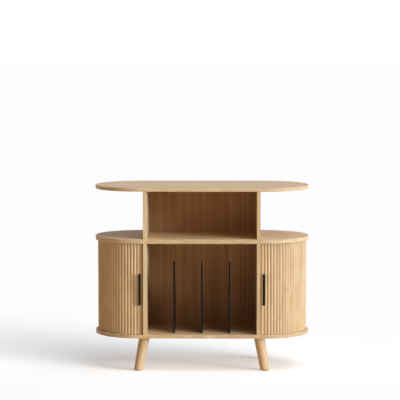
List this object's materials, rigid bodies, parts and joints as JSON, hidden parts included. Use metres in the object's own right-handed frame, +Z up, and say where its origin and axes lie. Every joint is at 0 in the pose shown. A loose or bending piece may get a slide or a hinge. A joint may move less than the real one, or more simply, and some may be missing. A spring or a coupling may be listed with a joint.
{
  "type": "record cabinet",
  "caption": "Oak record cabinet with round ends, sliding fluted tambour doors, open middle bays with record dividers, an oval top and splayed round legs.",
  "frame": {"origin": "on the floor, under the middle of the cabinet", "axes": "+X to the right of a viewer who stands in front, +Y to the back, +Z up; the front faces -Y"},
  "size_m": [1.2, 0.5267, 1.025],
  "materials": {
    "oak_veneer": "matt lacquered oak veneer on board, grain along the boards",
    "back_veneer": "thin oak-veneered board with vertical grain",
    "oak_slats": "matt lacquered solid oak, rounded flutes, vertical grain",
    "oak_solid": "matt lacquered solid oak, turned",
    "beech": "plain beech dowel",
    "canvas": "woven cotton canvas",
    "black_steel": "black powder coat",
    "black_lacquer": "satin black lacquer on a thin wood-fibre board",
    "zinc_steel": "bright zinc-plated steel",
    "black_plastic": "matt black moulded plastic",
    "felt": "brown felt"
  },
  "bodies": {
    "carcass": {"top_panel": "oak_veneer", "bottom_panel": "oak_veneer", "left_upright": "oak_veneer", "right_upright": "oak_veneer", "middle_shelf": "oak_veneer", "left_cap_panel": "oak_veneer", "right_cap_panel": "oak_veneer", "back_panel": "back_veneer", "left_end_panel": "oak_veneer", "right_end_panel": "oak_veneer", "left_inner_shelf": "oak_veneer", "right_inner_shelf": "oak_veneer", "shelf_cleats": "oak_solid", "front_left_leg": "oak_solid", "front_right_leg": "oak_solid", "rear_left_leg": "oak_solid", "rear_right_leg": "oak_solid", "record_divider_1": "black_lacquer", "record_divider_2": "black_lacquer", "record_divider_3": "black_lacquer", "foot_pads": "felt", "leg_bolts": "zinc_steel", "shelf_pins": "zinc_steel", "divider_screws": "zinc_steel", "end_panel_screws": "zinc_steel", "dowels": "beech", "cable_grommet": "black_plastic"},
    "left_door": {"left_door_rail": "oak_slats", "left_slat_pair_01": "oak_slats", "left_slat_pair_02": "oak_slats", "left_slat_pair_03": "oak_slats", "left_slat_pair_04": "oak_slats", "left_slat_pair_05": "oak_slats", "left_slat_pair_06": "oak_slats", "left_slat_pair_07": "oak_slats", "left_slat_pair_08": "oak_slats", "left_slat_pair_09": "oak_slats", "left_slat_pair_10": "oak_slats", "left_slat_pair_11": "oak_slats", "left_door_canvas": "canvas", "left_handle": "black_steel", "left_handle_screws": "zinc_steel"},
    "right_door": {"right_door_rail": "oak_slats", "right_slat_pair_01": "oak_slats", "right_slat_pair_02": "oak_slats", "right_slat_pair_03": "oak_slats", "right_slat_pair_04": "oak_slats", "right_slat_pair_05": "oak_slats", "right_slat_pair_06": "oak_slats", "right_slat_pair_07": "oak_slats", "right_slat_pair_08": "oak_slats", "right_slat_pair_09": "oak_slats", "right_slat_pair_10": "oak_slats", "right_slat_pair_11": "oak_slats", "right_door_canvas": "canvas", "right_handle": "black_steel", "right_handle_screws": "zinc_steel"}
  },
  "joints": [
    {"name": "left_door_travel", "type": "hinge", "parent": "carcass", "child": "left_door", "pos_m": [-0.34, 0, 0], "axis": [0, 0, -1], "range_deg": [0, 80]},
    {"name": "right_door_travel", "type": "hinge", "parent": "carcass", "child": "right_door", "pos_m": [0.34, 0, 0], "axis": [0, 0, 1], "range_deg": [0, 80]}
  ]
}
